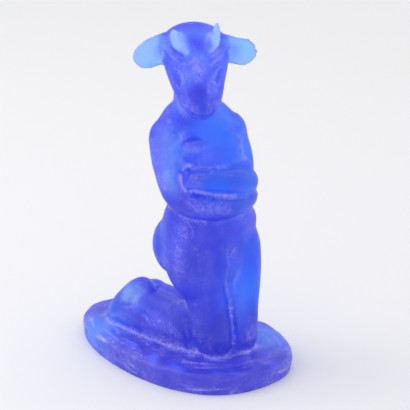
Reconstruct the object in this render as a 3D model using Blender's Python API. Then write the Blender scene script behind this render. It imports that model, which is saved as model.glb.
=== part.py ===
"""A kneeling woman with a goat's head, arms folded, cast in one piece of blue glass with her oval base.

The figure faces -Y and her lower legs lie towards +Y. The origin is under the middle of the oval base.
Her places and radii are given in parts of her own height: FIGURE_PARTS parts from the base's top to her
crown, so that at the real height one part is one millimetre. Forms are lofted and rounded bodies that
are fused, smoothed, carved with a few strokes and thinned to facets.
"""

import bpy
import bmesh
from math import copysign, cos, exp, pi, radians, sin
from mathutils import Matrix, Quaternion, Vector
from mathutils.bvhtree import BVHTree
from mathutils.kdtree import KDTree

# Real sizes, in metres
FIGURE_HEIGHT = 0.276
BASE_THICKNESS = 0.018
BASE_EDGE_ROUND = 0.005
BASE_FOOT_TAPER = 0.0015
FRONT_MARGIN = 0.0332
BACK_MARGIN = 0.0332
LEFT_MARGIN = 0.0410
RIGHT_MARGIN = 0.0303

# Triangles in the finished solid
FACETS = 9600
# Two faces that meet at more than this many degrees show an edge
SHARP_ANGLE = 50.0

FIGURE_PARTS = 276.0
PART = FIGURE_HEIGHT / FIGURE_PARTS
# The clay is as fine for a figure of any height
CLAY_GRAIN = 1.3 * PART

# Where she meets the base, in parts: knees, toes, and the outer sides of her legs
KNEES_Y = -62.0
TOES_Y = 73.0
LEGS_LEFT_X = 26.0
LEGS_RIGHT_X = -33.0

BASE_LENGTH = (TOES_Y - KNEES_Y) * PART + FRONT_MARGIN + BACK_MARGIN
BASE_WIDTH = (LEGS_LEFT_X - LEGS_RIGHT_X) * PART + LEFT_MARGIN + RIGHT_MARGIN
FIGURE_SHIFT = Vector((
    -BASE_WIDTH / 2 + RIGHT_MARGIN - LEGS_RIGHT_X * PART,
    -BASE_LENGTH / 2 + FRONT_MARGIN - KNEES_Y * PART,
    BASE_THICKNESS,
))

GLASS_BLUE = (0.03, 0.06, 0.75, 1.0)


def spot(x, y, z):
    """A place on the figure, from parts measured on the base's top."""
    return Vector((x, y, z)) * PART + FIGURE_SHIFT


def run_through(stations, steps):
    """Stations joined by a smooth Catmull-Rom curve, steps to each stretch. A station is a tuple."""
    ends = [stations[0], *stations, stations[-1]]
    made = []
    for a, b, c, d in zip(ends, ends[1:], ends[2:], ends[3:]):
        for k in range(steps):
            t = k / steps
            made.append(tuple(
                0.5 * (2 * q + (r - p) * t + (2 * p - 5 * q + 4 * r - s) * t * t
                       + (3 * q - p - 3 * r + s) * t ** 3)
                for p, q, r, s in zip(a, b, c, d)
            ))
    made.append(stations[-1])
    return made


def bridge(bm, rings):
    """Closes a tube over rings of points, with a fan at each end."""
    made = [[bm.verts.new(p) for p in ring] for ring in rings]
    count = len(made[0])
    for low, high in zip(made, made[1:]):
        for k in range(count):
            n = (k + 1) % count
            bm.faces.new((low[k], low[n], high[n], high[k]))
    bm.faces.new(reversed(made[0]))
    bm.faces.new(made[-1])


def trunk(bm, sections, around=36, steps=5):
    """An upright body. A section is x, y, z, half width, depths in front and behind, turn in degrees."""
    rings = []
    for x, y, z, wide, front, back, turn in run_through(sections, steps):
        ring = []
        for k in range(around):
            t = 2 * pi * k / around
            out = Vector((wide * cos(t), (back if sin(t) > 0 else front) * sin(t), 0))
            out.rotate(Quaternion((0, 0, 1), radians(turn)))
            ring.append(spot(x + out.x, y + out.y, z))
        rings.append(ring)
    bridge(bm, rings)


def limb(bm, sections, flat=1.0, face=(0, 0, 1), around=24, steps=6):
    """A rounded limb. A section is x, y, z, radius. flat thins it along the direction that it faces."""
    path = run_through(sections, steps)
    points = [Vector(p[:3]) for p in path]
    rings = []
    for k, p in enumerate(path):
        along = (points[min(k + 1, len(points) - 1)] - points[max(k - 1, 0)]).normalized()
        thin = Vector(face)
        thin = (thin - along * thin.dot(along)).normalized()
        wide = along.cross(thin)
        radius = p[3]
        rings.append([
            spot(*(points[k] + wide * (radius * cos(t)) + thin * (radius * flat * sin(t))))
            for t in (2 * pi * n / around for n in range(around))
        ])
    bridge(bm, rings)


def round_body(bm, centre, radii, turn=0.0, tip=0.0):
    """An ellipsoid, tipped about X and then turned about Z, in degrees."""
    place = (
        Matrix.Translation(spot(*centre))
        @ Matrix.Rotation(radians(turn), 4, "Z")
        @ Matrix.Rotation(radians(tip), 4, "X")
        @ Matrix.Diagonal((*(Vector(radii) * PART), 1.0))
    )
    bmesh.ops.create_uvsphere(bm, u_segments=28, v_segments=18, radius=1.0, matrix=place)


def base_plan(around):
    """The base's outline, a full oval, a little uneven by hand, fitted to its length and width."""
    # Under 1, this fills an ellipse out towards its corners
    fullness = 0.96
    plan = []
    for k in range(around):
        t = 2 * pi * k / around
        swell = 1 + 0.013 * cos(3 * t) - 0.051 * sin(3 * t) - 0.045 * sin(2 * t)
        across = copysign(abs(cos(t)) ** fullness, cos(t))
        ahead = copysign(abs(sin(t)) ** fullness, sin(t))
        plan.append((BASE_WIDTH / 2 * swell * across, BASE_LENGTH / 2 * swell * ahead))
    fitted = []
    for axis, size in ((0, BASE_WIDTH), (1, BASE_LENGTH)):
        low = min(p[axis] for p in plan)
        high = max(p[axis] for p in plan)
        fitted.append([(p[axis] - (low + high) / 2) * size / (high - low) for p in plan])
    return [Vector((x, y, 0)) for x, y in zip(*fitted)]


def oval_base(bm, around=120, edge_steps=6):
    """The base: an oval with a rounded top edge, a little narrower at its foot."""
    profile = [(BASE_FOOT_TAPER, -8 * CLAY_GRAIN), (BASE_FOOT_TAPER, 0.0), (0.0, BASE_THICKNESS * 0.35)]
    for k in range(edge_steps + 1):
        t = pi / 2 * k / edge_steps
        profile.append((
            BASE_EDGE_ROUND * (1 - cos(t)),
            BASE_THICKNESS - BASE_EDGE_ROUND * (1 - sin(t)),
        ))
    plan = base_plan(around)
    rings = []
    for inward, height in profile:
        rings.append([p - p.normalized() * inward + Vector((0, 0, height)) for p in plan])
    bridge(bm, rings)


def body(bm):
    """Hips, waist, chest and shoulders, which turn a little to her right as they rise."""
    trunk(bm, [
        (3, -26, 48, 20, 12, 12, 0),
        (3, -28, 58, 33, 22, 20, 0),
        (4, -26, 74, 42, 28, 27, 0),
        (5, -24, 92, 44, 29, 33, 0),
        (5, -24, 106, 44, 32, 34, -2),
        (3, -24, 118, 39, 32, 30, -5),
        (2, -24, 136, 33, 27, 22, -9),
        (1, -22, 158, 35, 23, 21, -13),
        (0, -19, 176, 35, 22, 20, -16),
        (-1, -18, 189, 27, 18, 17, -16),
        (-2, -17, 199, 15, 12, 12, -18),
    ])
    for side in (-1, 1):
        round_body(bm, (3 + 19 * side, -7, 87), (21, 19, 26), tip=-10)
        round_body(bm, (4 + 22 * side, -17, 86), (20, 22, 25))


def breasts(bm):
    round_body(bm, (-21, -31, 174), (13.5, 6.5, 12), turn=-26, tip=18)
    round_body(bm, (12, -37, 175), (13.5, 7.5, 12), turn=-6, tip=18)


def between_the_arms(bm):
    """Belly and chest stand nearly flush with the arms that cross them."""
    round_body(bm, (-4, -40, 141), (22, 11, 14), turn=-10)
    round_body(bm, (1, -36, 160), (27, 12, 20), turn=-12)
    # The chest slopes down on to the top of her left forearm
    round_body(bm, (11, -46, 155), (20, 9.5, 8.5), turn=-2)
    round_body(bm, (4, -38, 118), (32, 17, 14))
    round_body(bm, (-27, -31, 150), (8, 10, 14))


def neck(bm):
    limb(bm, [(-1, -15, 180, 20), (-2, -16, 196, 21), (-5, -18, 212, 18.5), (-6, -19, 232, 17.5),
              (-7, -19, 246, 15)], face=(0, 1, 0), flat=0.92)
    limb(bm, [(-8, -13, 208, 10), (-18, -12, 199, 12.5), (-27, -12, 191, 12)])
    limb(bm, [(3, -17, 208, 10), (13, -20, 198, 11), (24, -22, 187, 11)])


def arms(bm):
    """Her right arm lies low across her waist. Her left lies over it, its hand by the right elbow."""
    limb(bm, [(-27, -11, 194, 9), (-31, -11, 186, 13.5), (-32.5, -13, 170, 13), (-31.5, -17, 152, 12),
              (-29, -21, 138, 11.5), (-24, -25, 130, 9)])
    limb(bm, [(-27, -20, 136, 9), (-25, -32, 132, 12), (-17, -44, 131, 12.5), (-4, -51, 131, 12),
              (14, -50, 130, 11), (28, -43, 129, 10), (36, -32, 128, 7)])
    limb(bm, [(24, -23, 190, 9), (28, -24, 183, 13), (30.5, -25, 170, 13), (32.5, -29, 156, 12.5),
              (31.5, -33, 145, 11.5), (28, -40, 139, 9)])
    limb(bm, [(31, -32, 141, 8), (28.5, -41, 142, 10), (20, -50, 144, 10.5), (4, -55, 149, 10),
              (-12, -54, 153, 9.5), (-25, -46, 155, 9), (-31, -38, 155, 6.5)])


def thighs(bm):
    limb(bm, [(-15, -24, 104, 16), (-18, -25, 88, 22.5), (-17, -29, 70, 21), (-12.2, -35.8, 52, 17),
              (-11.5, -39.5, 36, 16), (-11, -42, 20, 16.5), (-10, -45, 8, 15), (-10, -45, 1, 10)],
         face=(0, 1, 0), flat=1.06)
    limb(bm, [(20, -30, 104, 16), (25, -30, 88, 22), (24, -34, 70, 22), (21, -40, 52, 19.5),
              (17, -46, 36, 16.5), (15, -50, 20, 14.5), (14, -52, 8, 13.5), (14, -52, 1, 10)],
         face=(0, 1, 0), flat=1.06)
    # The inside of her right knee is filled out, so that thigh and calf are one face
    round_body(bm, (-18, -24, 24), (13.5, 22, 18))
    round_body(bm, (18, -28, 22), (13, 20, 16))
    # The glass between the thighs, which only a narrow crease parts
    limb(bm, [(3, -36, 84, 9), (2, -40, 66, 11), (2, -42, 44, 10.5), (2, -46, 24, 9.5), (3, -48, 4, 9)])


def lower_legs(bm):
    """Shins along the base, with the heels high and the soles sloping down to the toes behind."""
    for knee_x, knee_y, foot_x, heel_y, lift in ((-10, -42, -19, 30, 5), (15, -48, -2, 34, -3)):
        # Shin and heel
        limb(bm, [(knee_x, knee_y, 8, 10), (knee_x, knee_y + 8, 12, 15),
                  (knee_x - 3, knee_y + 26, 17, 16.5),
                  (foot_x + 3, -2, 19, 15), (foot_x + 1, 16, 23.5, 12.5), (foot_x, heel_y - 2, 26, 11),
                  (foot_x, heel_y + 4, 30, 8)], flat=1.15)
        # Sole
        limb(bm, [(foot_x, heel_y - 7, 30 + lift, 7), (foot_x, heel_y - 1, 35 + lift, 8.5),
                  (foot_x, heel_y + 7, 31 + lift, 11), (foot_x, 50, 20 + lift / 2, 12),
                  (foot_x, 62, 9, 11), (foot_x, 70, 3, 8)],
             face=(0, 0.7, 0.7), flat=0.85)
        # The glass under both, down to the base
        limb(bm, [(knee_x, knee_y, 4, 10), (knee_x - 2, -20, 6, 15), (foot_x + 2, 10, 9, 14),
                  (foot_x, 30, 10, 13.5), (foot_x, 48, 9, 13), (foot_x, 60, 4, 12), (foot_x, 67, 2, 9)])
    # The glass between the calves, which only a groove parts
    limb(bm, [(-10, 30, 24, 7), (-9, 18, 24, 9), (-8, 6, 24, 10), (-6, -12, 22, 11), (-2, -24, 22, 11)])
    limb(bm, [(-10, 34, 12, 8), (-9, 18, 12, 10), (-8, 2, 12, 11), (-4, -20, 12, 12)])
    round_body(bm, (-11, 30, 34), (5, 6, 5.5))


# Her head turns to her right, leans and looks down. HEAD_MIDDLE lies between the ears.
HEAD_TURN = -38.0
HEAD_LEAN = -0.5
HEAD_PITCH = 62.0
HEAD_MIDDLE = (-5.0, -18.0, 253.0)


def on_head(left, forward, up):
    """A place by the head's own directions, in parts."""
    out = Vector((left, -forward, up))
    out.rotate(Quaternion((0, 1, 0), radians(HEAD_LEAN)))
    out.rotate(Quaternion((0, 0, 1), radians(HEAD_TURN)))
    return Vector(HEAD_MIDDLE) + out


def on_face(left, along, out):
    """A place on the face: along runs down it to the nose, out stands off it."""
    pitch = radians(HEAD_PITCH)
    return on_head(left, along * cos(pitch) + out * sin(pitch), -along * sin(pitch) + out * cos(pitch))


def head(bm):
    """Crown, then brow, cheeks and muzzle. A section is along, half width, front, behind, aside."""
    round_body(bm, on_head(-1, -6, 3), (26, 19, 17.5), turn=HEAD_TURN)
    sections = [(-12, 12, 8, 8, 0), (-4, 22, 13, 16, 0), (4, 26, 15, 19, 0), (14, 25.2, 15, 19, 0),
                (24, 22.6, 13.5, 19, 0.5), (35, 19.6, 11.5, 18, 1.2), (44, 16.2, 10, 15, 2),
                (50, 12.2, 8.5, 11, 2.5), (54.5, 8, 6, 8, 3), (57, 4, 3, 4, 3)]
    around = 32
    rings = []
    for along, wide, front, behind, aside in run_through(sections, 5):
        ring = []
        for k in range(around):
            t = 2 * pi * k / around
            out = (front if sin(t) > 0 else behind) * sin(t)
            ring.append(spot(*on_face(aside - wide * cos(t), along, out)))
        rings.append(ring)
    bridge(bm, rings)


def ears(bm):
    """Broad ears that stand out sideways and droop a little."""
    for side in (-1, 1):
        sections = [(12, -2, 3 - side, 12 - side), (22, -2, 1 - side, 12.5 - side * 0.7),
                    (32, -2, -2 - side * 0.8, 12.2 - side * 0.6), (40, -1.5, -4, 11.9), (46, -1, -4.4, 9),
                    (49.5, -1, -4.6, 5.5), (51.5, -1, -4.6, 2)]
        path = [(*on_head(side * left, forward, up), radius) for left, forward, up, radius in sections]
        facing = on_head(0, 1, 0) - on_head(0, 0, 0)
        limb(bm, path, flat=0.3, face=facing)


def horns(bm):
    """Two stubs in front of the crown, her right one worn short."""
    right = [(-11, 9.5, 0, 6.5), (-14, 9.5, 5, 6.8), (-16.2, 9, 10, 5.4), (-17.3, 8, 15, 3.8),
             (-17.6, 7, 19, 2.2)]
    left = [(9, 10, 0, 5.5), (12, 11, 4.5, 5.8), (14.5, 10.5, 10, 4.7), (15.9, 9.5, 16, 3.7),
            (16.3, 8.5, 20.5, 2.9), (16.2, 7.5, 24, 1.6)]
    for sections in (right, left):
        limb(bm, [(*on_head(aside, forward, up), radius) for aside, forward, up, radius in sections])


FORMS = (oval_base, body, breasts, between_the_arms, neck, arms, thighs, lower_legs, head, ears, horns)


def clay():
    """All forms in one mesh, still overlapping."""
    bm = bmesh.new()
    for form in FORMS:
        form(bm)
    bmesh.ops.recalc_face_normals(bm, faces=bm.faces)
    mesh = bpy.data.meshes.new("clay")
    bm.to_mesh(mesh)
    bm.free()
    return mesh


def with_modifier(obj, kind, **settings):
    """The object's mesh after one modifier, put back on the object."""
    modifier = obj.modifiers.new(kind, kind)
    for name, value in settings.items():
        setattr(modifier, name, value)
    bpy.context.view_layer.update()
    graph = bpy.context.evaluated_depsgraph_get()
    made = bpy.data.meshes.new_from_object(obj.evaluated_get(graph))
    obj.modifiers.clear()
    obj.data = made


def stroke(mesh, tree, places, width, rise):
    """One pass of the modelling tool: the skin near a line rises or sinks along its own normals."""
    line = run_through([tuple(spot(*p)) for p in places], 8)
    touched = KDTree(len(line))
    for k, p in enumerate(line):
        touched.insert(tree.find_nearest(Vector(p))[0], k)
    touched.balance()
    reach = width * PART
    low = Vector([min(p[a] for p in line) - 4 * reach for a in range(3)])
    high = Vector([max(p[a] for p in line) + 4 * reach for a in range(3)])
    moves = []
    for vertex in mesh.vertices:
        co = vertex.co
        if low.x < co.x < high.x and low.y < co.y < high.y and low.z < co.z < high.z:
            away = touched.find(co)[2]
            if away < 2.5 * reach:
                moves.append((vertex, co + vertex.normal * (rise * PART * exp(-(away / reach) ** 2))))
    for vertex, co in moves:
        vertex.co = co


def face_strokes():
    """Brows, eyes, the ridges of the nose, the mouth and the hollows of the ears."""
    made = [
        # The flat of the nose, then the mouth and the nostrils
        ([(-19, -40, 228), (-21, -42, 221), (-22, -44, 214)], 4.0, -1.0),
        ([(-25.5, -36, 209), (-23.5, -39, 206), (-20, -43, 206), (-15, -45, 207), (-12, -46, 210)],
         1.4, -1.4),
        ([(-25, -41, 212)], 1.3, -1.0),
        ([(-18, -46, 212)], 1.3, -1.0),
    ]
    # By the head's own directions, alike on both sides
    paired = [
        # Brow, and the hollow between it and the horn
        ([(26, 2.5, 4), (23.5, 7, 1), (19.5, 14, -2), (15, 18, -5), (10, 19.5, -8)], 2.4, 1.8),
        ([(18, 11.5, 2), (15, 14, 0), (13, 15, -1)], 3.0, -1.8),
        # Eye: its hollow, its outer lid and its inner lid
        ([(18, 16.5, -13.5), (16, 18, -17), (14, 21, -21)], 2.4, -1.5),
        ([(20.5, 14.5, -13), (19, 16, -18), (16.5, 19.5, -23), (14, 22, -24)], 1.6, 1.0),
        ([(17, 17, -10), (13, 21.5, -12), (11, 23.5, -17), (11, 24, -23)], 1.7, 1.4),
        # The ridge beside the nose
        ([(10.7, 24.5, -22), (9.5, 27, -29), (7.5, 29, -35.5), (6.5, 30, -41)], 2.2, 1.2),
        # The hollow of the ear
        ([(44, 8, -3), (36, 8, -2), (28, 8, -1)], 6.5, -1.2),
    ]
    for places, width, rise in paired:
        for side in (-1, 1):
            line = [on_head(side * left, forward, up) for left, forward, up in places]
            made.append((line, width, rise))
    return made


def body_strokes():
    """Breasts, the edges of the arms, the creases of the thighs, the knees, the back and the feet."""
    return [
        ([(-25, -35, 183), (-20, -38, 182), (-14, -39, 178)], 2.0, -1.2),
        ([(6, -43, 180), (10, -44, 181), (17, -45, 177)], 1.8, -1.0),
        ([(20, -43, 175), (23, -41, 171), (20, -42, 168)], 1.6, 0.8),
        ([(27, -39, 169), (25, -41, 162), (19, -45, 155)], 2.0, -1.0),
        ([(-31, -29, 181), (-30, -29, 170), (-28, -28, 161)], 2.5, -1.4),
        # Round her left hand and along the underside of that arm
        ([(-26.5, -31, 163), (-28, -28.5, 159), (-28, -28.5, 153), (-27, -32, 146), (-25, -39, 142),
          (-20.5, -46, 141)], 2.2, -2.2),
        ([(-20.5, -46, 141), (-16, -53, 140), (-8.5, -59, 138), (4, -60, 136), (16.5, -59, 134)],
         1.8, -1.8),
        ([(-24, -34, 161), (-19, -38, 162), (-17, -52, 163), (-9.5, -60, 161), (-2, -61, 159)],
         1.6, -1.2),
        # Groin, the crease between the thighs, and the edge where the right thigh turns its side
        ([(-7, -51, 96), (-3, -51, 89), (0, -51, 83)], 2.5, -1.2),
        ([(10, -52, 90), (3.5, -52, 88), (0, -51, 83)], 2.5, -1.2),
        ([(0, -51, 83), (-3, -51, 72), (-1.5, -48, 57), (2, -48, 44), (2.5, -52, 28), (3, -55, 15),
          (5, -55, 3)], 2.2, -2.4),
        ([(-27, -45, 108), (-27, -47, 88), (-27, -50, 67), (-25, -52, 46)], 4.0, 1.0),
        # Knees, and the hollow beside her right ankle
        ([(-18, -58, 17)], 5.0, 1.2),
        ([(-26, -48, 19)], 4.0, 1.0),
        ([(8, -64, 11)], 4.0, 0.8),
        ([(-22, -54, 25), (-23, -54, 18), (-23, -52, 9)], 2.2, -0.8),
        ([(-30, 38, 33), (-30, 28, 26), (-30, 15, 19)], 4.0, -1.2),
        # Spine, seat and the gap between the feet
        ([(-3, 8, 190), (-1, 6, 160), (2, 5, 135), (3, 8, 112)], 5.0, -2.0),
        ([(3, 10, 108), (3, 12, 90), (3, 8, 72)], 3.6, -4.0),
        ([(-9, 24, 30), (-9, 40, 28), (-9, 56, 16), (-9, 70, 6)], 2.6, -2.0),
    ]


def carve(obj):
    for places, width, rise in face_strokes() + body_strokes():
        corners = [v.co for v in obj.data.vertices]
        tree = BVHTree.FromPolygons(corners, [p.vertices for p in obj.data.polygons])
        stroke(obj.data, tree, places, width, rise)
        obj.data.update()


def cut_flat(obj):
    """Cuts the underside flat at the height of the table."""
    bm = bmesh.new()
    bm.from_mesh(obj.data)
    everything = bm.verts[:] + bm.edges[:] + bm.faces[:]
    cut = bmesh.ops.bisect_plane(
        bm, geom=everything, dist=1e-7, plane_co=(0, 0, 0), plane_no=(0, 0, 1), clear_inner=True)
    edges = [e for e in cut["geom_cut"] if isinstance(e, bmesh.types.BMEdge)]
    bmesh.ops.contextual_create(bm, geom=edges)
    bmesh.ops.triangulate(bm, faces=bm.faces)
    bm.to_mesh(obj.data)
    bm.free()


def glass(name):
    material = bpy.data.materials.new(name)
    material.use_nodes = True
    shader = material.node_tree.nodes["Principled BSDF"]
    shader.inputs["Base Color"].default_value = GLASS_BLUE
    shader.inputs["Roughness"].default_value = 0.45
    shader.inputs["Metallic"].default_value = 0.0
    return material


def main():
    for old in list(bpy.data.objects):
        bpy.data.objects.remove(old)
    figure = bpy.data.objects.new("goat_headed_woman", clay())
    bpy.context.scene.collection.objects.link(figure)
    with_modifier(figure, "REMESH", mode="VOXEL", voxel_size=CLAY_GRAIN)
    with_modifier(figure, "SMOOTH", factor=0.5, iterations=12)
    carve(figure)
    with_modifier(figure, "SMOOTH", factor=0.5, iterations=1)
    cut_flat(figure)
    with_modifier(figure, "DECIMATE", ratio=FACETS / len(figure.data.polygons))
    for vertex in figure.data.vertices:
        if vertex.co.z < CLAY_GRAIN / 4:
            vertex.co.z = 0.0
    figure.data.materials.append(glass("cast blue glass"))
    figure.data.shade_smooth()
    figure.data.set_sharp_from_angle(angle=radians(SHARP_ANGLE))


main()
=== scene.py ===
from math import cos, radians, sin

import bmesh
import bpy
import numpy as np
from bpy.props import FloatProperty, FloatVectorProperty, IntProperty, PointerProperty
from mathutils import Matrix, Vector, noise
from mathutils.bvhtree import BVHTree


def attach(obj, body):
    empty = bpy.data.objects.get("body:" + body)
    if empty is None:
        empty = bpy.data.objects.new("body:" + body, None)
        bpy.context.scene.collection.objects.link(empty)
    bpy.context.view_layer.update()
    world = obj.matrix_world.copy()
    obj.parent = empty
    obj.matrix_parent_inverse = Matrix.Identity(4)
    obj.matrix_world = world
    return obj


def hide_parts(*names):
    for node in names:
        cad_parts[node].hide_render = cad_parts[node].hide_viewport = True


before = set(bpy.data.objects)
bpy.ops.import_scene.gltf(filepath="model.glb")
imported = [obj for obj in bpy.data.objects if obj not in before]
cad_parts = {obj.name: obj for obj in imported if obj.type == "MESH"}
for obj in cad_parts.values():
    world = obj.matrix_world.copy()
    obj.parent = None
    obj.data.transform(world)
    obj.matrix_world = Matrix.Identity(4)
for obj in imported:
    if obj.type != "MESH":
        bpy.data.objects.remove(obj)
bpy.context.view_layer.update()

bl_info = {
    "name": "Kneeling figure in cast blue glass",
    "version": (1, 0, 0),
    "blender": (4, 5, 0),
    "location": "View3D > Sidebar > Glass figure",
    "description": "Dresses the solid figure as frosted blue cast glass and sets it in a plain studio",
    "category": "Object",
}

NODE = "goat_headed_woman"
CASTING = "cast_glass_figure"
GLASS = "cobalt glass, lost wax cast, matt from the mould"
MM = 0.001
# The figure's own origin on the base's top, in millimetres. All places on her are given from it.
FIGURE_ORIGIN = (-1.85, -5.5, 18.0)
# Where her head turns about, and how far it turns to her right, in degrees
HEAD_MIDDLE = (-5.0, -18.0, 253.0)
HEAD_TURN = -38.0
# Half the base's width and length, in millimetres
BASE_HALF = (65.0, 100.6)
BASE_TOP = 18.0
# Glass this many millimetres thick has its full depth of colour
FULL_DEPTH = 60.0
# The glass turns cloudy from this height down, over so many millimetres
CLOUDY_BELOW = 45.0
CLOUDY_OVER = 30.0
# How many pin-pricks and chips there are, and the seeds that place them
PIN_PRICKS = (420, 8)
CHIPS = (34, 5)
# Waves per metre of the colour drifts (25 mm), the frost's patches (4 mm) and the plaster grain (1.3 mm)
DRIFT = 40.0
PATCH = 260.0
GRAIN = 760.0
# Where the camera looks, in millimetres, and its lens; where the large light hangs from there, in metres
LOOKED_AT = (-21.35, -49.5, 150)
LENS = 164.6
KEY_FROM_THERE = (-0.55, 0.75, 1.0)


def linear(code):
    """An sRGB hex colour as linear red, green, blue."""
    made = []
    for k in (0, 2, 4):
        c = int(code[k:k + 2], 16) / 255
        made.append(c / 12.92 if c <= 0.04045 else ((c + 0.055) / 1.055) ** 2.4)
    return tuple(made)


def colour(name, code, description):
    return FloatVectorProperty(name=name, description=description, subtype="COLOR", size=3, min=0, max=1,
                               default=linear(code))


class GlassFigureSettings(bpy.types.PropertyGroup):
    """Sizes and colours of the casting."""

    grain: FloatProperty(name="Clay grain", description="Size of the facets the figure is modelled in",
                         default=1.25 * MM, min=0.8 * MM, max=4 * MM, unit="LENGTH")
    ease: IntProperty(name="Easing", description="Passes that ease the solid's facets away",
                      default=8, min=0, max=40)
    sway: FloatProperty(name="Unevenness", description="Depth of the slow waves a hand leaves in wax",
                        default=0.45 * MM, min=0, max=2 * MM, unit="LENGTH")
    furrow: FloatProperty(name="Furrows", description="Depth of the furrows round the base",
                          default=0.55 * MM, min=0, max=2 * MM, unit="LENGTH")
    thin: colour("Thin glass", "A8E0FF", "Colour of the ears and horns")
    middle: colour("Middling glass", "6084FF", "Colour of the arms and hips")
    thick: colour("Thick glass", "4B46F0", "Colour of the thighs and the base")
    deep: colour("Deepest glass", "402ACC", "Colour of the base and the knees")
    azure: colour("Azure glass", "1C92FF", "Colour of the stream of lighter glass in chest and left thigh")
    frost: colour("Frost", "CABEFF", "Mould grain left white in the creases and on the edges")
    absorbed: colour("Tint", "38B4FC", "Light that gets through the glass")
    density: FloatProperty(name="Density", description="How fast the glass takes up light, per metre",
                           default=28.0, min=0, max=400)
    # Painted glow: the glass gives off blue light of its own, which lightens it all over
    painted_glow: FloatProperty(name="Glow", description="Light scattered about inside the glass",
                        default=0.1, min=0, max=1)
    roughness: FloatProperty(name="Mattness", description="Roughness of the mould's surface",
                             default=0.42, min=0, max=1)


class StudioSettings(bpy.types.PropertyGroup):
    """Floor, light and camera."""

    floor: colour("Floor", "EFEFF2", "Colour of the paper sweep")
    sky: FloatProperty(name="Room light", description="Strength of the even light all round",
                       default=0.94, min=0)
    key: FloatProperty(name="Key light", description="Power of the large soft light", default=3.8, min=0,
                       unit="POWER")
    azimuth: FloatProperty(name="Azimuth", description="Where the camera stands round the figure",
                           default=radians(-44), subtype="ANGLE")
    elevation: FloatProperty(name="Elevation", description="How far the camera looks down",
                             default=radians(20), subtype="ANGLE")
    distance: FloatProperty(name="Distance", description="From the camera to its target",
                            default=1.5, min=0.3, unit="LENGTH")


def node(tree, kind, settings=(), links=()):
    """Adds one node with its settings and what its inputs are linked to or set at."""
    made = tree.nodes.new(kind)
    for name, value in dict(settings).items():
        setattr(made, name, value)
    for name, value in dict(links).items():
        if isinstance(value, bpy.types.NodeSocket):
            tree.links.new(value, made.inputs[name])
        else:
            made.inputs[name].default_value = value
    return made


def only(obj):
    """Selects one object and makes it active."""
    bpy.ops.object.select_all(action="DESELECT")
    obj.select_set(True)
    bpy.context.view_layer.objects.active = obj


def finish_with(obj, kind, **settings):
    """Adds one modifier and applies it, as by hand."""
    only(obj)
    bpy.ops.object.modifier_add(type=kind)
    modifier = obj.modifiers[-1]
    for name, value in settings.items():
        setattr(modifier, name, value)
    bpy.ops.object.modifier_apply(modifier=modifier.name)


def merged_copy(source, name):
    """A copy of a solid with its own mesh, its loose triangles merged."""
    obj = source.copy()
    obj.data = source.data.copy()
    obj.name = name
    obj.data.name = name
    bpy.context.scene.collection.objects.link(obj)
    bm = bmesh.new()
    bm.from_mesh(obj.data)
    bmesh.ops.remove_doubles(bm, verts=bm.verts, dist=1e-6)
    bm.to_mesh(obj.data)
    bm.free()
    return obj


def places(mesh):
    made = np.empty(len(mesh.vertices) * 3)
    mesh.vertices.foreach_get("co", made)
    return made.reshape(-1, 3)


def directions(mesh):
    made = np.empty(len(mesh.vertices) * 3)
    mesh.vertices.foreach_get("normal", made)
    return made.reshape(-1, 3)


def put(mesh, points):
    mesh.vertices.foreach_set("co", points.ravel())
    mesh.update()


def neighbours(mesh):
    ends = np.empty(len(mesh.edges) * 2, dtype=np.int64)
    mesh.edges.foreach_get("vertices", ends)
    return ends.reshape(-1, 2)


def spread(values, ends, passes):
    """Averages a value at each vertex with its neighbours, so many times."""
    count = len(values)
    degree = np.bincount(ends.ravel(), minlength=count) + 1.0
    for _ in range(passes):
        total = values + np.bincount(ends[:, 0], values[ends[:, 1]], count)
        total = total + np.bincount(ends[:, 1], values[ends[:, 0]], count)
        values = total / degree
    return values


def keep(mesh, name, values):
    """Stores one number at each vertex, for the material to read."""
    mesh.attributes.new(name, "FLOAT", "POINT").data.foreach_set("value", values.astype(np.float32))


def bend_of(points, normals, ends, passes):
    """How hollow (over 0) or how proud (under 0) the skin is at each vertex, in millimetres."""
    eased = np.stack([spread(points[:, k], ends, passes) for k in range(3)], axis=1)
    return np.einsum("ij,ij->i", eased - points, normals) / MM


def depth_of_glass(mesh, points, normals):
    """How far the glass goes on behind each vertex, in millimetres."""
    mesh.calc_loop_triangles()
    tree = BVHTree.FromPolygons([Vector(p) for p in points], [t.vertices for t in mesh.loop_triangles])
    found = np.zeros(len(points))
    for k, (p, n) in enumerate(zip(points, normals)):
        away = -Vector(n)
        hit = tree.ray_cast(Vector(p) + away * 0.5 * MM, away)
        found[k] = hit[3] / MM if hit[3] else 0.0
    return found


def on_head(side, forward, up):
    """A place by the head's own directions, in millimetres from the figure's origin."""
    turn = radians(HEAD_TURN)
    x, y = side * cos(turn) + forward * sin(turn), side * sin(turn) - forward * cos(turn)
    return (HEAD_MIDDLE[0] + x, HEAD_MIDDLE[1] + y, HEAD_MIDDLE[2] + up)


def spot(place):
    """A place on the figure, in metres from the floor."""
    return Vector([(p + o) * MM for p, o in zip(place, FIGURE_ORIGIN)])


def line_through(stations, steps=6):
    """Points along a smooth curve through the stations."""
    ends = [stations[0], *stations, stations[-1]]
    made = []
    for a, b, c, d in zip(ends, ends[1:], ends[2:], ends[3:]):
        for k in range(steps):
            t = k / steps
            made.append(tuple(
                0.5 * (2 * q + (r - p) * t
                       + (2 * p - 5 * q + 4 * r - u) * t ** 2
                       + (3 * q - p - 3 * r + u) * t ** 3)
                for p, q, r, u in zip(a, b, c, d)))
    return [*made, stations[-1]]


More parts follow.
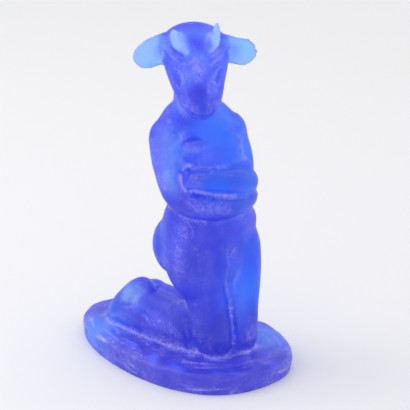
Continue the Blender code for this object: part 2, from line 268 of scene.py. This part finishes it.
def nearness(points, tree, stations, width):
    """One on a line drawn over the skin, falling to nothing about two widths away."""
    line = [np.array(tree.find_nearest(spot(p))[0]) for p in line_through(stations)]
    low, high = np.min(line, axis=0) - 3 * width * MM, np.max(line, axis=0) + 3 * width * MM
    inside = np.flatnonzero(((points > low) & (points < high)).all(axis=1))
    best = np.full(len(inside), np.inf)
    for p in line:
        best = np.minimum(best, ((points[inside] - p) ** 2).sum(axis=1))
    made = np.zeros(len(points))
    made[inside] = np.exp(-best / (width * MM) ** 2)
    return made


def paired(places, width, amount):
    """The same line on both sides of the head."""
    return [
        ([on_head(side * s, forward, up) for s, forward, up in places], width, amount)
        for side in (-1, 1)
    ]


def face_tooling():
    """Lines cut or raised in the face, each with its width and its rise in millimetres."""
    return [
        # Lids and the ball of the eye, which stands in its hollow
        *paired([(20.5, 14.5, -12), (19, 16, -18), (16.5, 19.5, -23), (14, 22, -24)], 0.9, 0.45),
        *paired([(17, 17, -9.5), (13, 21.5, -12), (11, 23.5, -17), (11, 24, -22)], 0.9, 0.5),
        *paired([(17.8, 16.5, -14), (16, 18, -17.5), (14.4, 20.6, -21)], 2.3, 1.5),
        *paired([(18.5, 15.5, -11), (15, 19.6, -13), (12.6, 22.2, -18), (12.6, 22.6, -22)], 0.8, -0.4),
        # Ridges beside the nose and furrows that part them from the cheek
        *paired([(10.7, 24.5, -22), (9.5, 27, -29), (7.5, 29, -35.5), (6.5, 30, -41)], 1.2, 0.5),
        *paired([(14, 22, -27), (12.5, 24, -33), (10, 27, -39)], 1.4, -0.5),
        # Rims of the horns' roots
        *paired([(21, 9, 3), (16.5, 14, 2.5), (11, 15, 2), (8, 13, 4)], 1.2, -0.45),
        # Folds of the brow
        *paired([(21, 11, 0.5), (16, 16, -2), (11, 18.5, -5)], 1.0, 0.45),
        *paired([(20, 13.5, -5), (15.5, 18.5, -8), (11, 21, -10)], 1.0, -0.4),
        # Mouth, chin and nostrils
        ([(-25.5, -36, 209), (-23.5, -39, 206), (-20, -43, 206), (-15, -45, 207), (-12, -46, 210)],
         0.8, -0.55),
        ([(-24.5, -36, 206.5), (-20, -40, 203.5), (-15, -43, 204)], 1.2, 0.35),
        ([(-25.3, -40, 213.5), (-24.6, -41.5, 211.5)], 0.9, -0.7),
        ([(-17.5, -46, 213.5), (-18.6, -46, 211.5)], 0.9, -0.7),
        # Nicks in the tip of her left ear
        ([(36, -48, 253)], 1.5, -1.3),
        ([(37, -49, 246.5)], 1.3, -1.2),
        ([(35.5, -48, 242)], 1.4, -0.8),
    ]


def body_tooling():
    """Lines cut or raised in the body, the same way."""
    return [
        # Round her left hand, over and under the forearms
        ([(-26.5, -28, 162), (-28, -28.5, 158), (-28, -29, 152), (-27, -32, 146), (-25, -39, 141),
          (-20, -46, 140)], 1.1, -0.7),
        ([(-20, -46, 140), (-14, -54, 140), (-7, -59, 137.5), (4, -60, 136), (16, -59, 134)], 0.9, -0.7),
        ([(-24.5, -33, 162), (-18, -38, 162), (-12, -46, 161), (-9, -58, 161), (5, -62, 157)], 0.8, -0.5),
        ([(-34, -29, 121), (-31, -38, 120), (-22.5, -48, 120), (-15, -57, 122), (-2, -60, 124)],
         1.0, -0.35),
        ([(-32, -34, 119), (-31, -40, 114), (-31, -42, 107)], 0.9, -0.45),
        # Breasts and the edges of the arms
        ([(-25, -35, 183), (-20, -38, 182), (-14, -39, 178)], 1.2, -0.4),
        ([(6, -43, 180), (10, -44, 181), (17, -45, 177)], 1.1, -0.5),
        ([(20, -43, 175), (23, -41, 171), (20, -42, 168)], 1.0, 0.45),
        ([(27, -39, 170), (25, -41, 162), (19, -45, 155)], 1.0, -0.6),
        # Groin and the crease between the thighs
        ([(-8.5, -51, 95), (-3, -51, 88), (0, -51, 82)], 1.1, -0.5),
        ([(10, -52, 89), (3.5, -52, 87), (0, -51, 82)], 1.1, -0.5),
        ([(0, -51, 83), (-2, -51, 72), (-1, -49, 57), (2, -49, 44), (2.5, -52, 28), (3, -55, 15),
          (4, -56, 4)], 1.0, -0.7),
        # Lines over the knees and along the calf
        ([(-26, -51, 32), (-23, -54, 22), (-22.5, -53, 10)], 1.0, -0.5),
        ([(-28.5, -30, 32), (-27, -35, 20), (-25, -41, 8)], 1.2, -0.5),
        ([(-16, -58, 22), (-13, -60, 14), (-15, -58, 6)], 1.0, -0.45),
        ([(9.5, -64, 20), (12, -65, 12), (14, -65, 5)], 1.1, -0.45),
        ([(-28.5, 38, 27), (-30, 11, 25), (-29, -12, 23)], 1.6, -0.5),
        ([(-29, 62, 8), (-30, 48, 14), (-30, 36, 16)], 1.2, -0.5),
    ]


def wear():
    """Where the mould's white grain stayed, as lines and spots with a width and an amount."""
    return [
        # Forehead, brow, nose and horns
        ([on_head(0, 24, -3), on_head(0, 27, -12)], 9.0, 0.58),
        ([on_head(-7, 22, -4), on_head(-15, 19, -6)], 5.0, 0.5),
        *paired([(26, 2.5, 4), (23.5, 8, 1), (19, 15, -2), (14, 19, -5), (10, 20, -8)], 2.2, 0.5),
        *paired([(10.7, 24.5, -20), (9.5, 27, -29), (7.5, 29, -35.5), (6.5, 30, -41)], 2.0, 0.45),
        *paired([(19, 15.5, -10), (15.5, 19.5, -11.5), (12.6, 22.2, -17), (12, 23, -22), (14, 22, -24.5)],
                0.9, 0.8),
        *paired([(20.3, 14.6, -12), (18.8, 16.2, -17), (16.8, 19.3, -22), (14.5, 21.8, -24)], 0.9, 0.7),
        ([(-25.5, -18, 266), (-24, -21.5, 259), (-22, -24, 253)], 2.0, 0.45),
        ([(0, -36, 272), (-4.5, -37, 262), (-6.5, -36, 254)], 2.0, 0.4),
        ([(-24, -37, 203), (-18, -42, 202), (-12, -44, 205)], 1.6, 0.3),
        # Breasts, right arm and the corner above her left hand
        ([(-30, -32, 178), (-26, -36, 179), (-21, -38, 177)], 5.0, 0.5),
        ([(-27, -33, 170), (-20, -38, 168)], 5.0, 0.35),
        ([(-42, -14, 182), (-43, -16, 160), (-41, -22, 146)], 9.0, 0.5),
        ([(-26.5, -29, 163), (-25, -33, 163.5)], 2.2, 0.95),
        ([(-10.4, -45, 164), (-4.5, -48, 162), (0, -56, 160)], 1.0, 0.5),
        ([(16.5, -44, 178), (19.5, -44, 175), (22.5, -43, 171), (20, -46, 166), (16, -50, 162)], 1.2, 0.62),
        # The groove round the hand and the low forearm
        ([(-28, -29, 160), (-28, -30, 154), (-27, -34, 147), (-23, -41, 143.5), (-18.5, -48, 142.5)],
         2.6, 1.0),
        ([(-18.5, -48, 142.5), (-13, -54, 141.5), (-7.5, -58, 140.5), (-1, -60, 139)], 2.0, 0.85),
        ([(-33, -42, 136), (-30, -47, 133), (-24, -54, 133), (-12, -60, 131)], 8.0, 0.46),
        ([(-35, -30, 143)], 7.0, 0.4),
        ([(-35, -30, 123), (-32, -38, 121), (-26, -46, 120.5)], 1.1, 0.8),
        ([(-32, -34, 120), (-31, -40, 114), (-31, -42, 107)], 1.0, 0.6),
        # Groin, the seam down to the base, thighs and knees
        ([(-8.5, -51, 94), (1.5, -50, 82), (10, -52, 88)], 1.4, 0.55),
        ([(-2, -52, 91), (0, -52, 80), (-1, -50, 62), (2.4, -51, 45), (2, -54, 27), (0.6, -55, 15),
          (3, -56, 3)], 1.1, 0.85),
        ([(-37, -36, 112), (-38, -32, 98), (-37, -32, 78)], 11.0, 0.46),
        ([(-28.5, -44, 99), (-29.5, -49, 76)], 2.5, 0.35),
        ([(14, -62, 30), (15, -64, 14)], 6.0, 0.4),
        ([(-30, 6, 18), (-29, -20, 16)], 10.0, 0.5),
        ([(-27, -31, 30), (-26, -33, 17)], 2.6, 0.5),
        ([(-26, -51, 32), (-22, -53, 13)], 2.2, 0.5),
        ([(-16, -58, 10)], 3.0, 0.4),
        ([(9.3, -64, 20), (14, -65, 6)], 2.6, 0.5),
        # Feet and calf, and the line where she meets the base
        ([(-30, 42, 30), (-29, 38, 27), (-30, 11, 25), (-29, -12, 23)], 2.5, 0.4),
        ([(-31, 64, 6), (-31, 52, 9), (-31, 40, 10)], 4.0, 0.4),
        ([(-30, 66, 1), (-31.5, 48, 1), (-32, 20, 3), (-31, 0, 3.5), (-28, -24, 2.5), (-24, -40, 1),
          (-17, -56, 1), (-3, -60, 0), (15, -64, 0.7), (24, -60, 0)], 3.3, 0.66),
        ([(-31, 18, 5), (-30, 0, 6), (-27, -24, 5)], 5.0, 0.45),
        ([on_head(-46, 0, -6), on_head(-36, 1, -4)], 8.0, 0.4),
        ([(-15, -10, 36), (-7, 6, 36), (-9, 22, 37)], 2.0, 0.6),
        ([(-28, 31, 42), (-25, 22, 39)], 1.6, 0.6),
        ([(-29, 60, 19), (-29.5, 65, 9), (-28, 69, 1)], 1.8, 0.5),
        ([(-55, -13, 0), (-60, -5, -1)], 5.0, 0.35),
        ([(11, -95, -7), (0, -95, -9), (22, -93, -5), (34, -86, -5)], 6.0, 0.4),
        ([(-60, 2, -13), (-56, -18, -14), (-50, -36, -15)], 1.6, 0.7),
    ]


def washed():
    """Where the glass came out of the mould clean: the same kind of lines."""
    return [
        *paired([(17.6, 16.5, -14.5), (16, 18, -17.5), (14.6, 20.4, -20)], 1.9, 0.95),
        ([(24, -30, 196), (24, -34, 193), (25, -40, 184), (24, -43, 177)], 4.0, 0.9),
        ([(0, -61, 158), (12, -58, 157), (24, -50, 155)], 5.0, 0.85),
        ([(10, -56, 100), (17, -58, 86), (24, -56, 70)], 6.0, 0.9),
        ([(-12, -56, 92), (-10, -56, 60), (-14, -56, 40)], 10.0, 0.65),
        ([(-28, -30, 34), (-26, -35, 20), (-22, -44, 6)], 3.0, 0.6),
        ([(-19, -40, 226), (-21, -42, 220), (-22, -44, 212)], 3.6, 0.85),
        ([on_head(-13, 15, -1), on_head(-18, 11.5, 2)], 2.4, 0.7),
        ([(-22, -54, 153), (-12, -60, 152), (4, -62, 149), (16, -58, 146)], 8.0, 0.95),
        ([(19, -60, 70), (19, -60, 50), (18, -62, 34)], 7.0, 0.8),
        ([(4, -38, 190)], 18.0, 0.9),
        ([(-20, -30, 196)], 9.0, 0.8),
        ([(-25.5, -36, 208), (-20, -43, 205), (-12, -46, 209)], 2.0, 0.8),
        ([(-52, -36, 0), (-38, -72, 0), (-8, -90, 0), (24, -84, 0)], 9.0, 0.6),
        ([(-20, -52, 120), (-12, -58, 121), (0, -61, 121), (14, -60, 120), (28, -52, 119)], 3.2, 0.75),
        ([(-24, -52, 26), (-14, -58, 16)], 8.0, 0.6),
    ]


def horns():
    """The two horns from tip to root, with a reach and how pale they are."""
    return [
        ([on_head(-17.6, 7, 20), on_head(-17, 9.5, 14)], 4.6, 1.0),
        ([on_head(-16.6, 10.5, 11), on_head(-14.5, 13, 6)], 5.6, 0.85),
        ([on_head(-14, 14, 5), on_head(-10, 15, 2)], 3.4, 0.5),
        ([on_head(16.2, 7.5, 25), on_head(15.7, 10.5, 15), on_head(14.5, 13, 8)], 4.0, 1.0),
        ([on_head(14, 14, 6), on_head(13, 16, 1)], 3.6, 0.6),
    ]


def shade():
    """Painted shade: dark lines that deepen the glass's colour along creases and hollows and round the foot
    of the base: the same kind of lines.
    """
    return [
        *paired([(19, 11.5, 3), (16, 14.5, 1), (12, 16.5, 0)], 1.6, 0.35),
        ([on_head(-4, 15, 10), on_head(3, 16, 8)], 4.5, 0.25),
        ([(-25.5, -36, 209), (-23.5, -39, 206), (-20, -43, 206), (-15, -45, 207), (-12, -46, 210)],
         1.0, 0.5),
        ([(-20, -40, 228), (-21, -42, 220), (-22, -44, 212)], 4.0, 0.25),
        ([(-22, -24, 198), (-27, -23, 195)], 6.0, 0.2),
        ([(-23, -36, 184), (-17, -38, 181), (-9.5, -38, 181)], 1.8, 0.5),
        ([(2, -42, 181), (9.7, -43, 182), (16, -45, 179)], 3.0, 0.42),
        ([(-2, -40, 176), (-3, -42, 168)], 5.0, 0.12),
        ([(-22, -38, 161.5), (-17, -42, 162), (-11, -56, 161), (-4, -60, 159.5)], 0.9, 0.6),
        ([(-24, -41, 140), (-17, -52, 138.5), (-8, -58, 136.5), (6, -60, 134.5), (19, -59, 132.5)],
         1.5, 0.7),
        ([(-26, -30, 158), (-25.5, -33, 152), (-23.5, -40, 147)], 1.0, 0.4),
        ([(-23, -47, 95), (-23, -50, 78), (-22, -52, 62), (-22, -52, 44)], 6.0, 0.2),
        ([(-14, -58, 22), (-11, -60, 12), (-13, -58, 4)], 1.6, 0.4),
        ([(4.6, -56, 70), (5, -54, 45), (5, -56, 25)], 1.4, 0.3),
        ([(-39, 40, 0), (-39, 26, 0), (-38, 4, 0), (-39, -24, 0), (-36, -48, 0), (-25, -67, 0),
          (-9, -75, 0), (12, -76, 0)], 4.0, 0.45),
    ]


def streams():
    """Where the glass is azure, violet and pale: each a place, a reach and an amount."""
    azure = [
        ((5, -38, 186), 24, 1.0), ((36, -37, 164), 20, 1.0), ((-18, -59, 152), 17, 1.0),
        ((12, -62, 149), 24, 1.0), ((19, -60, 56), 24, 1.0), ((22, -55, 88), 16, 0.6),
        ((-35, -5, 96), 18, 0.4), ((43, -55, 0), 24, 0.7), ((-46, 62, 2), 26, 0.9),
        ((34, -46, 143), 13, 0.9), ((-9, -40, 198), 9, 1.0), ((-44, -6, 98), 13, 0.6),
        ((6, -44, 165), 18, 0.9), ((-30, -24, 189), 7, 0.8), ((-31, -28, 176), 7, 1.0),
        ((-28, -28, 162), 7, 1.0), ((-29, 34, 40), 9, 0.6), ((-30, 56, 13), 10, 0.5),
        ((-27, -31, 147), 6, 0.6), ((-14, -38, 192), 10, 1.0),
        *((on_head(side * 29, 2, -2), 7, 0.9) for side in (-1, 1)),
    ]
    violet = [
        ((-20, -44, 214), 12, 1.0), ((-24, -50, 24), 24, 1.0), ((-10, -56, 60), 18, 0.9),
        ((2, -76, -2), 26, 1.0), ((-25, -50, 79), 18, 0.7), ((-24, -20, 206), 10, 0.5),
        ((-10, -55, 108), 20, 0.4), ((-30, -10, 15), 30, 0.7), ((-25, -80, -8), 40, 0.8),
        ((-55, -20, -10), 40, 0.6),
    ]
    pale = [
        ((-18, -16, 208), 9, 0.65), ((-42, -10, 172), 18, 0.3), ((-40, -14, 154), 16, 0.3),
        ((-22, -26, 232), 10, 0.2), (on_head(-42, 0, -4), 14, 0.7), ((-30, -6, 20), 18, 0.22),
        ((12, -95, -7), 16, 0.3), ((-26, -84, -12), 12, 0.15), ((-9, -40, 199), 6, 0.25),
        ((-28, 40, 34), 14, 0.4), ((10, 40, 32), 14, 0.2), ((18, -66, 12), 12, 0.25),
    ]
    return azure, violet, pale


def pooled(points, spots):
    """Soft round pools of a value about some places."""
    made = np.zeros(len(points))
    for place, reach, amount in spots:
        away = ((points - np.array(spot(place))) ** 2).sum(axis=1)
        made = np.maximum(made, amount * np.exp(-away / (reach * MM) ** 2))
    return made


def noise_at(points, size, seed):
    """Smooth noise between about -1 and 1, with waves of the given size in millimetres."""
    shift = Vector((seed, seed, seed))
    return np.array([noise.noise(Vector(p) / (size * MM) + shift) for p in points])


def base_furrows(points):
    """Furrows drawn round the base, from about -1 to 1, and how much each vertex has of them."""
    x, y, z = points.T / MM
    rim = np.sqrt((x / BASE_HALF[0]) ** 2 + (y / BASE_HALF[1]) ** 2)
    angle = np.arctan2(y / BASE_HALF[1], x / BASE_HALF[0])
    inward = (1 - rim) * 80 + (BASE_TOP - z)
    drawn = np.array([
        noise.noise(Vector((2.2 * cos(a), 2.2 * sin(a), s / 3.4)))
        + 0.5 * noise.noise(Vector((5 * cos(a), 5 * sin(a), s / 1.7 + 9)))
        for a, s in zip(angle, inward)
    ])
    weight = np.clip((BASE_TOP + 1.5 - z) / 1.5, 0, 1) * np.clip((z - 0.3) / 1.5, 0, 1)
    return drawn, weight


def chips(points, count, seed):
    """Small chips along the base's upper edge and its foot, in millimetres."""
    draw = np.random.default_rng(seed)
    x, y, z = points.T / MM
    rim = np.sqrt((x / BASE_HALF[0]) ** 2 + (y / BASE_HALF[1]) ** 2)
    edge = np.flatnonzero((rim > 0.93) & (z > 1.5) & (z < BASE_TOP - 0.5))
    made = np.zeros(len(points))
    for k in draw.choice(edge, count, replace=False):
        width = draw.uniform(0.9, 2.6) * MM
        stretched = (points - points[k]) * (0.6, 0.6, 1.3)
        made -= draw.uniform(0.2, 0.7) * np.exp(-(stretched ** 2).sum(axis=1) / width ** 2)
    return made


def pits(points, count, seed):
    """Pin-pricks that bubbles in the plaster left, in millimetres."""
    draw = np.random.default_rng(seed)
    made = np.zeros(len(points))
    for k in draw.choice(len(points), count, replace=False):
        near = np.flatnonzero(np.abs(points - points[k]).max(axis=1) < 4 * MM)
        away = ((points[near] - points[k]) ** 2).sum(axis=1)
        made[near] += draw.choice((-0.5, 0.35)) * np.exp(-away / (draw.uniform(0.8, 1.4) * MM) ** 2)
    return made


def cast_blue_glass(settings):
    """Cobalt glass melted into a plaster mould and only washed, not polished.

    The mould leaves it matt, so light comes through but nothing is seen through it. Thin parts pass pale
    cyan light and thick parts a deep violet blue. Plaster grain stays white in creases and on edges.
    Painted shade deepens the colour along the creases, and a painted blue glow lightens it all over.
    """
    material = bpy.data.materials.new(GLASS)
    material.use_nodes = True
    tree = material.node_tree
    tree.nodes.clear()
    place = node(tree, "ShaderNodeTexCoord").outputs["Object"]
    depth_and_painted_shade, frost, azure, cloud = [
        node(tree, "ShaderNodeAttribute", {"attribute_name": name}).outputs["Fac"]
        for name in ("depth_and_painted_shade", "frost", "azure", "cloud")
    ]
    # Drifts of colour where streams of glass met in the mould
    drift = node(tree, "ShaderNodeTexNoise", {}, {"Vector": place, "Scale": DRIFT, "Detail": 2.0})
    # Plaster grain, drawn coarser than the real grain so that it shows, and the patches in which it stayed
    grain = node(tree, "ShaderNodeTexNoise", {}, {"Vector": place, "Scale": GRAIN, "Detail": 3.0})
    wash = node(tree, "ShaderNodeTexNoise", {}, {"Vector": place, "Scale": PATCH, "Detail": 3.0})
    # The depth value carries the painted shade, so the ramp below deepens the colour in the creases as
    # painted shade
    streaked_depth_and_shade = node(tree, "ShaderNodeMath", {"operation": "MULTIPLY_ADD"},
                   {0: wash.outputs["Fac"], 1: 0.22, 2: depth_and_painted_shade})
    drifted_depth_and_shade = node(tree, "ShaderNodeMath", {"operation": "MULTIPLY_ADD"},
                  {0: drift.outputs["Fac"], 1: 0.4, 2: streaked_depth_and_shade.outputs[0]})
    ramp = node(tree, "ShaderNodeValToRGB", {}, {"Fac": drifted_depth_and_shade.outputs[0]})
    ramp.color_ramp.elements[0].position = 0.4
    ramp.color_ramp.elements[0].color = (*settings.thin, 1)
    ramp.color_ramp.elements[1].position = 0.98
    ramp.color_ramp.elements[1].color = (*settings.deep, 1)
    for position, code in ((0.6, settings.middle), (0.8, settings.thick)):
        ramp.color_ramp.elements.new(position).color = (*code, 1)
    stream = node(tree, "ShaderNodeMix", {"data_type": "RGBA"},
                  {"Factor": azure, "A": ramp.outputs["Color"], "B": (*settings.azure, 1)})
    # Where much of the grain stayed it closes up, where little did it is only specks
    specks = node(tree, "ShaderNodeMapRange", {"clamp": False}, {
        "Value": grain.outputs["Fac"], "From Min": 0.38, "From Max": 0.64, "To Min": -0.62, "To Max": 0.62})
    patches = node(tree, "ShaderNodeMapRange", {}, {
        "Value": wash.outputs["Fac"], "From Min": 0.35, "From Max": 0.62, "To Min": -0.45, "To Max": 0.45})
    broken = node(tree, "ShaderNodeMath", {}, {0: specks.outputs[0], 1: patches.outputs[0]})
    some = node(tree, "ShaderNodeMath", {"operation": "MULTIPLY", "use_clamp": True}, {0: frost, 1: 2.2})
    open_skin = node(tree, "ShaderNodeMath", {"operation": "SUBTRACT"}, {0: 1.05, 1: frost})
    bare = node(tree, "ShaderNodeMath", {"operation": "MULTIPLY"},
                {0: some.outputs[0], 1: open_skin.outputs[0]})
    gaps = node(tree, "ShaderNodeMath", {"operation": "MULTIPLY"},
                {0: broken.outputs[0], 1: bare.outputs[0]})
    covered = node(tree, "ShaderNodeMath", {"operation": "MULTIPLY_ADD", "use_clamp": True},
                   {0: gaps.outputs[0], 1: frost, 2: frost})
    white = node(tree, "ShaderNodeMath", {"operation": "POWER"}, {0: covered.outputs[0], 1: 1.5})
    skin = node(tree, "ShaderNodeMix", {"data_type": "RGBA"},
                {"Factor": white.outputs[0], "A": stream.outputs["Result"], "B": (*settings.frost, 1)})
    # Low down the glass is thick every way and cloudier, and the horns are milky too
    open_glass = node(tree, "ShaderNodeMapRange", {}, {"Value": cloud, "To Min": 0.74, "To Max": 0.34})
    shut = node(tree, "ShaderNodeMapRange", {}, {"Value": white.outputs[0], "To Min": 1.0, "To Max": 0.3})
    clear = node(tree, "ShaderNodeMath", {"operation": "MULTIPLY"},
                 {0: open_glass.outputs[0], 1: shut.outputs[0]})
    bumps = node(tree, "ShaderNodeBump", {}, {"Height": wash.outputs["Fac"], "Strength": 0.25,
                                              "Distance": 0.6 * MM})
    fine = node(tree, "ShaderNodeBump", {}, {"Height": grain.outputs["Fac"], "Strength": 0.25,
                                             "Distance": 0.3 * MM, "Normal": bumps.outputs["Normal"]})
    shader = node(tree, "ShaderNodeBsdfPrincipled", {}, {
        "Base Color": skin.outputs["Result"],
        "Roughness": settings.roughness,
        "IOR": 1.52,
        "Transmission Weight": clear.outputs[0],
        # Painted glow: blue light the glass gives off itself, lightening it all over
        "Emission Color": (0.0, 0.14, 1.0, 1.0),
        "Emission Strength": settings.painted_glow,
        "Normal": fine.outputs["Normal"],
    })
    inside = node(tree, "ShaderNodeVolumeAbsorption", {}, {"Color": (*settings.absorbed, 1),
                                                           "Density": settings.density})
    node(tree, "ShaderNodeOutputMaterial", {}, {"Surface": shader.outputs[0], "Volume": inside.outputs[0]})
    return material


def studio_paper(code):
    """Plain matt paper, which gives an even pale ground with no gloss."""
    material = bpy.data.materials.new("matt white paper sweep")
    material.use_nodes = True
    shader = material.node_tree.nodes["Principled BSDF"]
    shader.inputs["Base Color"].default_value = (*code, 1)
    shader.inputs["Roughness"].default_value = 0.9
    shader.inputs["Specular IOR Level"].default_value = 0.1
    return material


class FIGURE_OT_cast(bpy.types.Operator):
    """Makes the casting from the solid: eased, tooled, frosted and given its glass"""

    bl_idname = "figure.cast"
    bl_label = "Cast the figure"

    def execute(self, context):
        settings = context.scene.glass_figure
        obj = merged_copy(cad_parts[NODE], CASTING)
        only(obj)
        obj.data.remesh_voxel_size = settings.grain
        if bpy.ops.object.voxel_remesh() != {"FINISHED"}:
            raise RuntimeError("the figure could not be remeshed")
        finish_with(obj, "SMOOTH", factor=0.5, iterations=settings.ease)
        mesh = obj.data
        points = places(mesh)
        ends = neighbours(mesh)
        normals = directions(mesh)
        tree = BVHTree.FromPolygons([Vector(p) for p in points], [f.vertices for f in mesh.polygons])
        # All tooling in millimetres along the normals, none of it on the underside
        furrows, on_base = base_furrows(points)
        rise = (noise_at(points, 26, 3) + 0.35 * noise_at(points, 9, 11)) * settings.sway / MM
        rise += furrows * on_base * settings.furrow / MM
        rise += noise_at(points, 17, 21) * on_base * 1.1
        pricks = pits(points, *PIN_PRICKS)
        rise += chips(points, *CHIPS) * on_base + pricks
        for stations, width, amount in face_tooling() + body_tooling():
            rise += amount * nearness(points, tree, stations, width)
        above = np.clip((points[:, 2] / MM - 0.6) / 1.5, 0, 1)
        points = points + normals * (rise * above)[:, None] * MM
        points[:, 2] = np.where(points[:, 2] < 1.0 * MM, 0.0, points[:, 2])
        put(mesh, points)
        normals = directions(mesh)
        azure, violet, pale = [pooled(points, pools) for pools in streams()]
        for stations, width, amount in horns():
            pale = np.maximum(pale, amount * nearness(points, tree, stations, width))
        depth_and_painted_shade = spread(np.clip(depth_of_glass(mesh, points, normals) / FULL_DEPTH, 0, 1), ends, 12)
        low = np.clip((CLOUDY_BELOW - points[:, 2] / MM) / CLOUDY_OVER, 0, 1)
        depth_and_painted_shade = 0.55 * depth_and_painted_shade + 0.3 * violet + 0.35 * np.maximum(low * 0.5, on_base) - 0.6 * pale
        # Swirls of darker and lighter glass, strongest in the base
        depth_and_painted_shade += noise_at(points, 13, 33) * (0.1 + 0.28 * on_base)
        # Painted shade: dark lines that deepen the glass's colour along its creases
        for stations, width, amount in shade():
            depth_and_painted_shade += amount * nearness(points, tree, stations, width)
        keep(mesh, "depth_and_painted_shade", np.clip(depth_and_painted_shade, 0, 1.2))
        keep(mesh, "azure", np.clip(azure - pale, 0, 1))
        keep(mesh, "cloud", np.maximum(low, pale))
        fine = bend_of(points, normals, ends, 3)
        wide = bend_of(points, normals, ends, 12)
        hollow = np.clip(fine * 6, 0, 1) + np.clip(wide * 0.9 - 0.15, 0, 1)
        proud = np.clip(-fine * 5 - 0.1, 0, 1)
        frost = 0.18 + 0.4 * spread(np.clip(hollow * 0.8 + proud * 0.6, 0, 1), ends, 2)
        # A thin veil in wisps about 12 mm long
        frost += 0.22 * np.clip(noise_at(points * (1, 1, 0.6), 12, 31), -0.5, 1)
        frost += 0.7 * on_base * np.clip(furrows - 0.25, 0, 1) + np.clip(pricks * 0.6, 0, 1)
        for stations, width, amount in wear():
            frost = np.maximum(frost, amount * nearness(points, tree, stations, width))
        for stations, width, amount in washed():
            frost *= 1 - amount * nearness(points, tree, stations, width)
        keep(mesh, "frost", np.clip(frost, 0, 1))
        only(obj)
        bpy.ops.object.shade_smooth()
        obj.data.materials.clear()
        obj.data.materials.append(cast_blue_glass(settings))
        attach(obj, "root")
        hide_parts(NODE)
        return {"FINISHED"}


class FIGURE_OT_studio(bpy.types.Operator):
    """Lays the floor, hangs the lights and sets the camera at the photograph's angle"""

    bl_idname = "figure.studio"
    bl_label = "Set the studio"

    def execute(self, context):
        settings = context.scene.glass_studio
        bpy.ops.object.select_all(action="DESELECT")
        bpy.ops.mesh.primitive_plane_add(size=12, location=(0, 0, -0.2 * MM))
        floor = context.object
        floor.name = "paper_sweep"
        floor.data.materials.append(studio_paper(settings.floor))
        world = bpy.data.worlds.new("even room light")
        world.use_nodes = True
        world.node_tree.nodes["Background"].inputs["Color"].default_value = (1, 1, 1, 1)
        world.node_tree.nodes["Background"].inputs["Strength"].default_value = settings.sky
        context.scene.world = world
        target = Vector(LOOKED_AT) * MM
        back = Vector((sin(settings.azimuth) * cos(settings.elevation),
                       -cos(settings.azimuth) * cos(settings.elevation), sin(settings.elevation)))
        bpy.ops.object.light_add(type="AREA", location=target + Vector(KEY_FROM_THERE))
        key = context.object
        key.data.size = 0.9
        key.data.energy = settings.key
        key.rotation_euler = (target - key.location).to_track_quat("-Z", "Y").to_euler()
        bpy.ops.object.camera_add(location=target + back * settings.distance)
        camera = context.object
        camera.rotation_euler = (-back).to_track_quat("-Z", "Y").to_euler()
        camera.data.sensor_width = 36
        camera.data.lens = LENS
        camera.data.clip_start = 0.01
        context.scene.camera = camera
        context.scene.view_settings.view_transform = "Standard"
        return {"FINISHED"}


class FIGURE_PT_panel(bpy.types.Panel):
    """Sizes, colours and the steps that build the scene"""

    bl_idname = "FIGURE_PT_panel"
    bl_label = "Glass figure"
    bl_space_type = "VIEW_3D"
    bl_region_type = "UI"
    bl_category = "Glass figure"

    def draw(self, context):
        for group, operator in (("glass_figure", FIGURE_OT_cast), ("glass_studio", FIGURE_OT_studio)):
            settings = getattr(context.scene, group)
            for name in settings.bl_rna.properties.keys():
                if name not in ("rna_type", "name"):
                    self.layout.prop(settings, name)
            self.layout.operator(operator.bl_idname)


CLASSES = (GlassFigureSettings, StudioSettings, FIGURE_OT_cast, FIGURE_OT_studio, FIGURE_PT_panel)


def register():
    for kind in CLASSES:
        bpy.utils.register_class(kind)
    bpy.types.Scene.glass_figure = PointerProperty(type=GlassFigureSettings)
    bpy.types.Scene.glass_studio = PointerProperty(type=StudioSettings)


def unregister():
    del bpy.types.Scene.glass_studio
    del bpy.types.Scene.glass_figure
    for kind in reversed(CLASSES):
        bpy.utils.unregister_class(kind)


def main():
    register()
    bpy.ops.figure.cast()
    bpy.ops.figure.studio()


if __name__ == "__main__":
    main()
